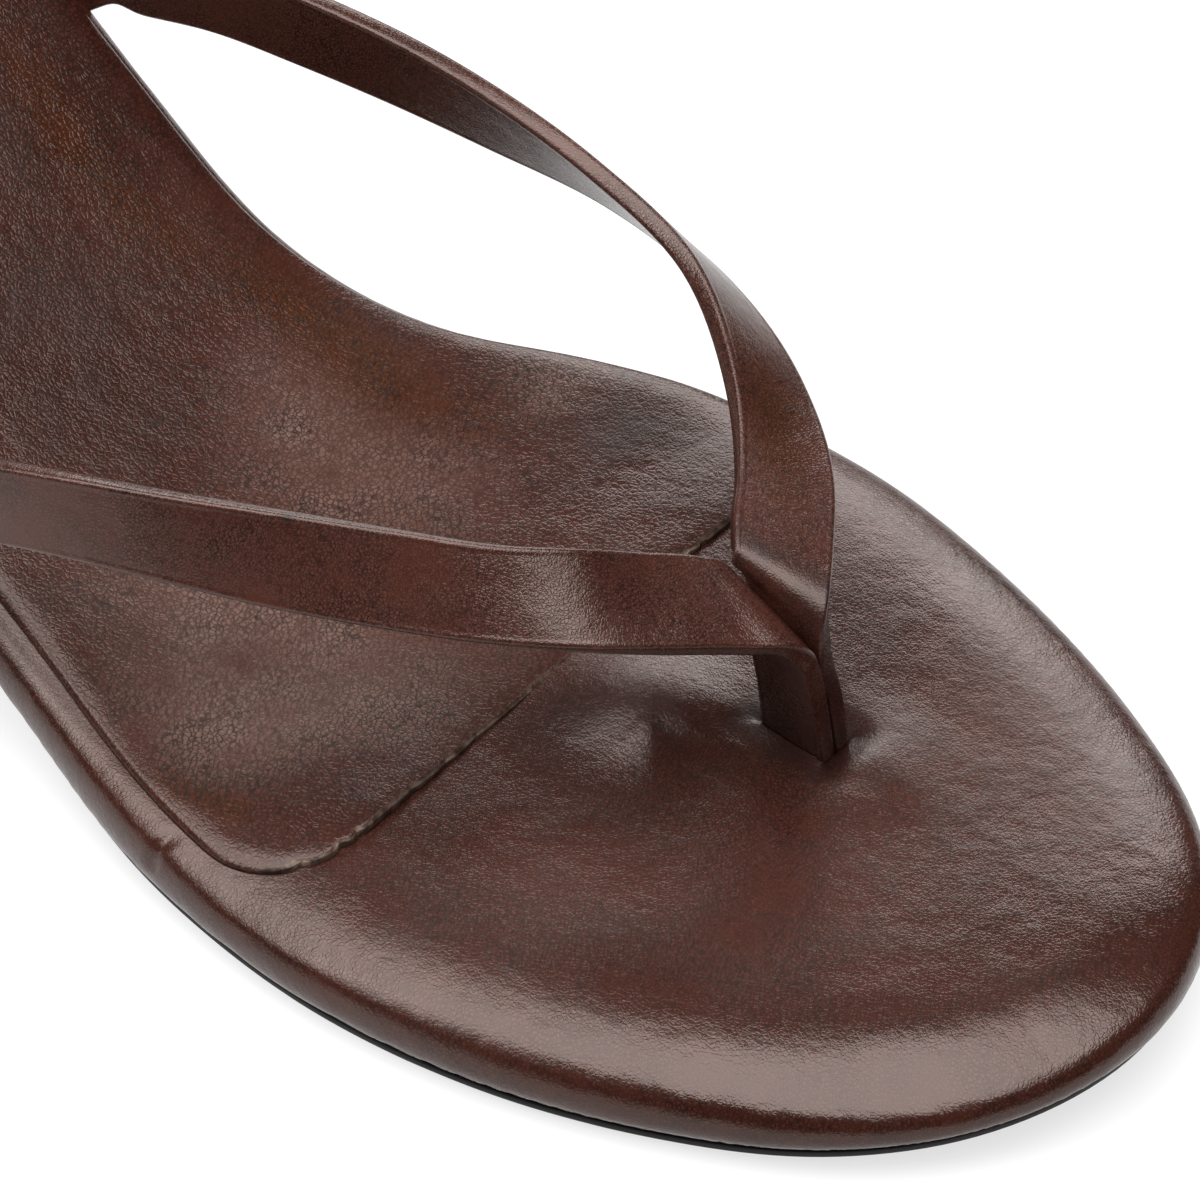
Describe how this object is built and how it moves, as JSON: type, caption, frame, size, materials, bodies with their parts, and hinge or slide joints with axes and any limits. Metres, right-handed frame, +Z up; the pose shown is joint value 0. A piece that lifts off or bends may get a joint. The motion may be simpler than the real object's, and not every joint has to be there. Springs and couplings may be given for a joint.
{
  "type": "heeled thong mule",
  "caption": "Open-backed heeled sandal for the right foot: padded leather footbed with a half sock, narrow straps from a toe post to the waist, thin outsole and a slim block heel.",
  "frame": {"origin": "middle of the shoe's bounding box, on the floor it stands on", "axes": "+X to the toe, +Y to the inner side of the foot, the left of the wearer, +Z up"},
  "size_m": [0.233, 0.0826, 0.0633],
  "materials": {
    "footbed_leather": "smooth soft-gloss brown leather",
    "sock_leather": "soft brown lining leather with a raw cut edge",
    "strap_leather": "smooth brown leather with turned edges",
    "outsole_rubber": "near-black, matt",
    "heel_leather": "smooth brown leather cover",
    "lift_rubber": "near-black, matt"
  },
  "bodies": {
    "root": {"footbed": "footbed_leather", "sock_liner": "sock_leather", "upper": "strap_leather", "outsole": "outsole_rubber", "heel": "heel_leather", "heel_lift": "lift_rubber"}
  },
  "joints": []
}
